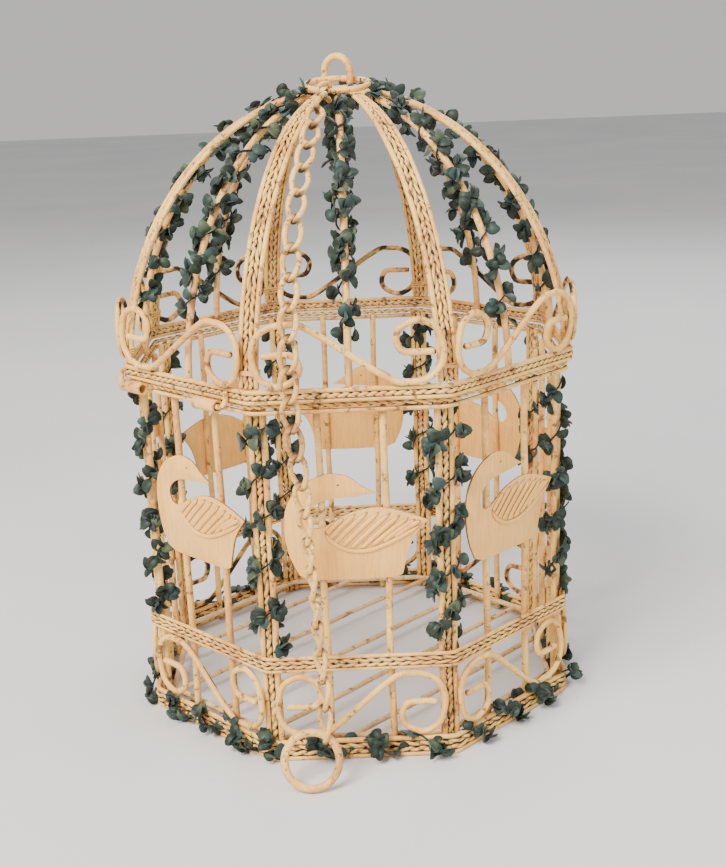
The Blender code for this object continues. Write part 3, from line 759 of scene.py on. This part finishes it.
for side in (-1, 1):
    line = [Vector((side * bar["offset"] + bar["sway"] * sin(i * 0.8 + side),
                    bar["foot"] + (bar["top"] - bar["foot"]) * i / bar["steps"],
                    bar["apothem"])) for i in range(bar["steps"] + 1)]
    layWire(bm, line, Vector((0, 0, 1)), bar["wire"], 10)
    for height in bar["welds"]:
        blob(bm, Vector((side * bar["offset"], height, bar["apothem"] + 0.0012)), bar["weld"],
             height * 90, (1.2, 1.6, 0.7))
barBase = bpy.data.meshes.new("barBase")
bm.to_mesh(barBase)
bm.free()
for k, angle in enumerate(faceAngles):
    for base, name, material, slot in ((swanBase, "swan", swanMaterial, "sheet_swans"),
                                       (barBase, "bars", creamWire, "wirework")):
        mesh = base.copy()
        mesh.transform(sideFrame(angle))
        finishMesh(mesh, "%s_%d" % (name, k + 1), material, "cage", slot, ["swan_panel_%d" % (k + 1)],
                   35 if name == "swan" else None)
print("swans pressed")

floorRods = {"height": 0.0085, "rim": 0.1095, "rimWire": 0.0017, "wire": 0.0015, "angle": radians(45),
             "offsets": (-0.0740, -0.0355, 0.0030, 0.0415, 0.0800), "bend": 0.004, "rimSteps": 160,
             "halfSteps": 8, "sway": 0.0005, "weld": 0.0022}
bm = startMesh()
rimPath = octagonPath(floorRods["rim"], floorRods["height"], floorRods["bend"])
layWire(bm, evenly(rimPath, floorRods["rimSteps"], True), upward, floorRods["rimWire"], 8, True)
along = Vector((cos(floorRods["angle"]), sin(floorRods["angle"]), 0))
sideways = Vector((-along.y, along.x, 0))
for n, offset in enumerate(floorRods["offsets"]):
    reach = floorRods["rim"] - max(0.0, abs(offset) - floorRods["rim"] * halfSide)
    half = floorRods["halfSteps"]
    line = [sideways * (offset + floorRods["sway"] * sin(i + n)) + along * reach * (i / half - 1)
            + upward * floorRods["height"] for i in range(2 * half + 1)]
    layWire(bm, line, upward, floorRods["wire"], 10)
    for end in (-1, 1):
        blob(bm, sideways * offset + along * reach * end + upward * floorRods["height"], floorRods["weld"],
             n + end, (1, 1, 0.8))
finishPiece(bm, "floorGrid", floorPaint, "cage", "wirework", ["floor_grid"])
print("floor laid")

hinge = {"angle": radians(-135), "apothem": 0.1262, "height": 0.1952, "outer": 0.0033, "sheet": 0.0009,
         "length": 0.0170, "wire": 0.0013,
         "pinApothem": 0.1241, "pinReach": 0.0120,
         # how far the lid's wire stands past the barrel's mouth, and how high
         "hook": ((0.0042, 0.2034), (0.0042, 0.1988), (0.0036, 0.1963)),
         "barrels": (("hingeBarrelLeft", "hinge_barrel_left", -0.0365, -1),
                     ("hingeBarrelRight", "hinge_barrel_right", 0.0245, 1))}
hingePlace = sideFrame(hinge["angle"])
for name, node, offset, side in hinge["barrels"]:
    bm = startMesh()
    bmesh.ops.create_circle(bm, segments=30, radius=hinge["outer"], matrix=Matrix.Rotation(pi / 2, 4, "Y"))
    seam = min(bm.edges, key=lambda e: (e.verts[0].co + e.verts[1].co).z - 0.3 * (e.verts[0].co + e.verts[1].co).y)
    bmesh.ops.delete(bm, geom=[seam], context="EDGES_FACES")
    grown = bmesh.ops.extrude_edge_only(bm, edges=bm.edges[:])["geom"]
    farEnd = [item for item in grown if isinstance(item, bmesh.types.BMVert)]
    bmesh.ops.translate(bm, vec=(hinge["length"], 0, 0), verts=farEnd)
    bmesh.ops.translate(bm, vec=(-hinge["length"] / 2, 0, 0), verts=bm.verts)
    bmesh.ops.recalc_face_normals(bm, faces=bm.faces)
    outward = sum(f.normal.dot(f.calc_center_median() * Vector((0, 1, 1))) for f in bm.faces)
    if outward < 0:
        bmesh.ops.reverse_faces(bm, faces=bm.faces)
    bmesh.ops.solidify(bm, geom=bm.faces[:], thickness=hinge["sheet"])
    part = startMesh()
    bmesh.ops.create_cube(part, size=1.0)
    bmesh.ops.scale(part, vec=(hinge["length"], 0.0009, 0.0042), verts=part.verts)
    bmesh.ops.translate(part, vec=(0, -0.0008, -0.0046), verts=part.verts)
    bmesh.ops.bevel(part, geom=part.edges[:], offset=0.0002, segments=1, profile=0.5, affect="EDGES", material=-1)
    pour(bm, part)
    middle = hingePlace @ Vector((offset, hinge["height"], hinge["apothem"]))
    place = hingePlace.copy()
    place.translation = middle
    bmesh.ops.transform(bm, matrix=place, verts=bm.verts)
    finishPiece(bm, name, pinkWire, "cage", "hinges", [node], 45)
    mouth = offset + side * hinge["length"] / 2
    top, turn, elbow = hinge["hook"]
    line = throughPoints([hingePlace @ Vector(p) for p in (
        (mouth + side * top[0], top[1], hinge["pinApothem"]), (mouth + side * turn[0], turn[1], hinge["pinApothem"]),
        (mouth + side * elbow[0], elbow[1], hinge["apothem"] - 0.0008),
        (mouth + side * 0.0020, hinge["height"], hinge["apothem"]),
        (mouth - side * hinge["pinReach"], hinge["height"], hinge["apothem"]))], 6)
    bm = startMesh()
    layWire(bm, line, hingePlace.to_3x3() @ Vector((0.3, 0.2, 1)), hinge["wire"], 10)
    finishPiece(bm, name.replace("Barrel", "Pintle"), creamWire, "lid", "hinges", [node.replace("barrel", "pintle")])
print("hinge rolled")

chain = {
    "links": 25, "halfLength": 0.0089, "halfWidth": 0.0040, "wire": 0.0014, "curl": radians(40),
    "steps": 26, "wide": 1.15, "lastStretch": 1.1, "shifts": {0: -0.0012, 24: 0.0016},
    "runs": {"chainUpper": ("chain_upper", 0, 12), "chainMiddle": ("chain_middle", 12, 18),
             "chainLower": ("chain_lower", 18, 25)},
    "route": [
        (-0.00474, -0.0293, 0.3430), (-0.0090, -0.0460, 0.3402), (-0.0125, -0.0685, 0.3285),
        (-0.0180, -0.0895, 0.3105), (-0.0225, -0.1080, 0.2885), (-0.0256, -0.1213, 0.2645),
        (-0.0278, -0.1303, 0.2390), (-0.0290, -0.1328, 0.2110), (-0.0282, -0.1322, 0.1850),
        (-0.0256, -0.1318, 0.1600), (-0.0238, -0.1315, 0.1280), (-0.0216, -0.1320, 0.0980),
        (-0.0200, -0.1340, 0.0660), (-0.0189, -0.1373, 0.0420), (-0.0191, -0.1407, 0.0260)],
    # how far each link is turned about the chain, in degrees: the first clears the ribs when the lid
    # opens, the next lie flat over the dome, and the last ones twist
    "turns": [115, 62] + [8, -6, 4, -8, 6, -4, 8, 0, 6, -6, 4, 10, 6, 18, 34, 52, 66, 74, 80, 70, 62, 54, 60],
}
stations = evenly(throughPoints([Vector(p) for p in chain["route"]], 12), chain["links"] + 1)
for name, (node, firstLink, lastLink) in chain["runs"].items():
    bm = startMesh()
    for i in range(firstLink, lastLink):
        start, end = stations[i].copy(), stations[i + 1].copy()
        along = (end - start).normalized()
        shift = chain["shifts"].get(i, 0.0)
        middle = (start + end) / 2 + along * shift
        side = Vector((1, 0, 0)) - along * along.x
        turned = Matrix.Rotation(radians(chain["turns"][i]), 3, along)
        side = turned @ side.normalized()
        face = along.cross(side)
        stretch = chain["lastStretch"] if i == chain["links"] - 1 else 1.0
        broad = chain["wide"] if i == 0 else stretch
        line = []
        for j in range(chain["steps"]):
            t = 2 * pi * j / chain["steps"]
            x = chain["halfLength"] * stretch * cos(t)
            y = chain["halfWidth"] * broad * sin(t)
            twist = chain["curl"] * cos(t)
            line.append(middle + along * x + side * y * cos(twist) + face * y * sin(twist))

        def jointStain(spot, share, middle=middle, along=along):
            # brown where one link rubs in the next
            return max(0.0, abs((spot - middle).dot(along)) / chain["halfLength"] - 0.62) * 1.5

        layWire(bm, line, [(p - middle).normalized() for p in line], chain["wire"], 8, True, jointStain)
    finishPiece(bm, name, chainPaint, node, "chain", [node])
print("chain linked")

leaf = {"size": (0.0058, 0.0085), "bend": 0.30, "fold": 0.30, "thick": 0.030, "stem": 0.00055}


def leafShape():
    # an oval blade, folded a little along its midrib and drooping at the tip
    part = startMesh()
    bmesh.ops.create_circle(part, cap_ends=True, segments=12, radius=0.5)
    bmesh.ops.poke(part, faces=part.faces)
    vein = part.verts.layers.float["vein"]
    for vert in part.verts:
        x, y = vert.co.x * 0.84, vert.co.y + 0.5
        narrow = 1.0 - 0.35 * max(0.0, y - 0.55) - 0.5 * max(0.0, 0.25 - y)
        vert.co = Vector((x * narrow, y, leaf["fold"] * abs(x) - leaf["bend"] * y * y))
        vert[vein] = max(0.0, 1.0 - abs(x) * 5.0)
    bmesh.ops.recalc_face_normals(part, faces=part.faces)
    bmesh.ops.solidify(part, geom=part.faces[:], thickness=leaf["thick"])
    bmesh.ops.recalc_face_normals(part, faces=part.faces)
    mesh = bpy.data.meshes.new("leafShape")
    part.to_mesh(mesh)
    part.free()
    return mesh


leafMesh = leafShape()


def growLeaf(bm, root, along, out, dice, lowest):
    # a leaf that starts on the stem, points away from it and shows its blade outwards
    size = dice.uniform(*leaf["size"])
    aim = (out * dice.uniform(0.25, 1.0) + along * dice.uniform(-1.0, 1.0)
           + out.cross(along) * dice.uniform(-0.9, 0.9)).normalized()
    if root.z < lowest + 0.006:
        aim.z = abs(aim.z)
        aim.normalize()
    normal = (out * 1.2 + Vector([dice.uniform(-1, 1) for _ in range(3)]) * 0.75)
    normal = (normal - aim * normal.dot(aim)).normalized()
    place = Matrix((aim.cross(normal) * size, aim * size, normal * size)).transposed().to_4x4()
    place.translation = root
    start = len(bm.verts)
    bm.from_mesh(leafMesh)
    bm.verts.ensure_lookup_table()
    fresh = bm.verts[start:]
    bmesh.ops.transform(bm, matrix=place, verts=fresh)
    under = lowest - min(vert.co.z for vert in fresh)
    if under > 0.0:
        bmesh.ops.translate(bm, vec=(0, 0, under), verts=fresh)
    layer = bm.verts.layers.float["tint"]
    shade = dice.random() ** 1.15
    for vert in fresh:
        vert[layer] = shade


def growGarland(bm, line, outs, garland, dice, thickness):
    # a fine stem wound round a strip, with clusters of leaves at its knots
    length = sum((b - a).length for a, b in zip(line, line[1:]))
    count = max(16, int(length / 0.0014))
    spots = evenly(line, count)
    wound = []
    angle = dice.uniform(0, 2 * pi)
    for i, spot in enumerate(spots):
        along = (spots[min(i + 1, count - 1)] - spots[max(i - 1, 0)]).normalized()
        up = outs[min(len(outs) - 1, int(i / count * len(outs)))]
        out = (up - along * up.dot(along)).normalized()
        angle += 2 * pi * (length / count) / garland["pitch"] * dice.uniform(0.6, 1.4)
        push = out * garland["reach"][1] * sin(angle) + out.cross(along) * garland["reach"][0] * cos(angle)
        wound.append((spot + push, along, (push.normalized() + out * 0.45).normalized(), i / count))
    layWire(bm, [w[0] for w in wound], outs[0].cross(wound[0][1]) + upward * 0.01, leaf["stem"], 5)
    lowest = garland.get("lowest", -1.0)
    travelled = dice.uniform(0.0, garland["step"])
    for root, along, way, share in wound:
        travelled += length / count
        if travelled < garland["step"]:
            continue
        travelled = dice.uniform(-0.25, 0.35) * garland["step"]
        for _ in range(thickness(share, dice)):
            growLeaf(bm, root + along * dice.uniform(-0.5, 0.5) * garland["step"] * 0.6, along, way, dice, lowest)


domeWind = {"reach": (0.0031, 0.0031), "pitch": 0.017, "step": 0.0034, "from": 0.20, "sweep": pi / 2 - 0.33}
# where along each thin rib the leaves crowd, from the lid rail to the apex
domeCrowds = {0: (0.34, 0.70), 1: (0.30, 0.80), 2: (0.15, 0.55), 3: (0.55, 0.8), 4: (0.4, 0.6),
              5: (0.2, 0.5), 6: (0.45, 0.7), 7: (0.1, 0.4)}
for k, angle in enumerate(faceAngles):
    dice = random.Random(40 + k)
    place = sideFrame(angle)
    line = []
    outs = []
    for i in range(24):
        t = domeWind["from"] + i / 23 * domeWind["sweep"]
        line.append(place @ Vector((0, dome["base"] + thinRib["rise"] * sin(t), thinRib["foot"] * cos(t))))
        outs.append((place.to_3x3() @ Vector((0, sin(t), cos(t)))).normalized())
    low, high = domeCrowds[k]

    def domeThickness(share, dice):
        most = 7 if low < share < high or share > 0.86 else 5
        return dice.randint(2, most) if dice.random() > 0.14 else 0

    bm = startMesh()
    growGarland(bm, line, outs, domeWind, dice, domeThickness)
    finishPiece(bm, "domeGarland_%d" % (k + 1), leafMaterial, "lid", "leaves", ["dome_garland"])

postWind = {"reach": (0.0062, 0.0030), "pitch": 0.024, "step": 0.0046, "foot": 0.0625, "length": 0.124}
for k, angle in enumerate(postAngles):
    dice = random.Random(80 + k)
    place = sideFrame(angle)
    line = [place @ Vector((0.0005 * sin(i), postWind["foot"] + postWind["length"] * i / 20, post["radius"]))
            for i in range(21)]
    outs = [place.to_3x3() @ Vector((0, 0, 1))] * 21

    def postThickness(share, dice):
        # a thick bunch above the waist rail, then a bunch every few turns
        return 9 if share < 0.10 else dice.choice((1, 4, 6, 7, 9))

    bm = startMesh()
    growGarland(bm, line, outs, postWind, dice, postThickness)
    finishPiece(bm, "postGarland_%d" % (k + 1), leafMaterial, "cage", "leaves", ["body_garland"])

footWind = {"reach": (0.0052, 0.0034), "pitch": 0.028, "step": 0.0046, "lowest": 0.0006,
            "apothem": 0.1196, "height": 0.0070}
dice = random.Random(7)
bm = startMesh()
line = evenly(octagonPath(footWind["apothem"], footWind["height"]), 200, True)
outs = outwardAt(line, footWind["apothem"])
growGarland(bm, line + [line[0]], outs, footWind, dice, lambda share, dice: dice.choice((1, 3, 5, 7)))
finishPiece(bm, "footGarland", leafMaterial, "cage", "leaves", ["body_garland"])
print("greenery wound")

bm = bmesh.new()
bmesh.ops.create_grid(bm, x_segments=2, y_segments=2, size=6.0)
mesh = bpy.data.meshes.new("tableTop")
bm.to_mesh(mesh)
bm.free()
mesh.materials.append(tableTop())
table = bpy.data.objects.new("tableTop", mesh)
bpy.context.scene.collection.objects.link(table)

world = bpy.data.worlds.new("studio")
world.use_nodes = True
world.node_tree.nodes["Background"].inputs["Color"].default_value = (0.86, 0.85, 0.83, 1.0)
world.node_tree.nodes["Background"].inputs["Strength"].default_value = 0.72
bpy.context.scene.world = world
lamps = {
    "key": {"from": (-0.75, -1.05, 1.35), "size": 0.9, "power": 74.0, "colour": (1.0, 0.94, 0.86)},
    "fill": {"from": (1.30, -0.75, 0.85), "size": 1.2, "power": 15.0, "colour": (0.95, 0.98, 1.0)},
    "back": {"from": (0.35, 1.30, 1.25), "size": 1.0, "power": 15.0, "colour": (1.0, 1.0, 1.0)},
}
for name, lamp in lamps.items():
    light = bpy.data.lights.new(name, "AREA")
    light.size = lamp["size"]
    light.energy = lamp["power"]
    light.color = lamp["colour"]
    holder = bpy.data.objects.new(name, light)
    holder.location = lamp["from"]
    holder.rotation_euler = (Vector((0, 0, 0.15)) - Vector(lamp["from"])).to_track_quat("-Z", "Y").to_euler()
    bpy.context.scene.collection.objects.link(holder)

for spare in [m for m in bpy.data.meshes if not m.users]:
    bpy.data.meshes.remove(spare)

print("scene ready")
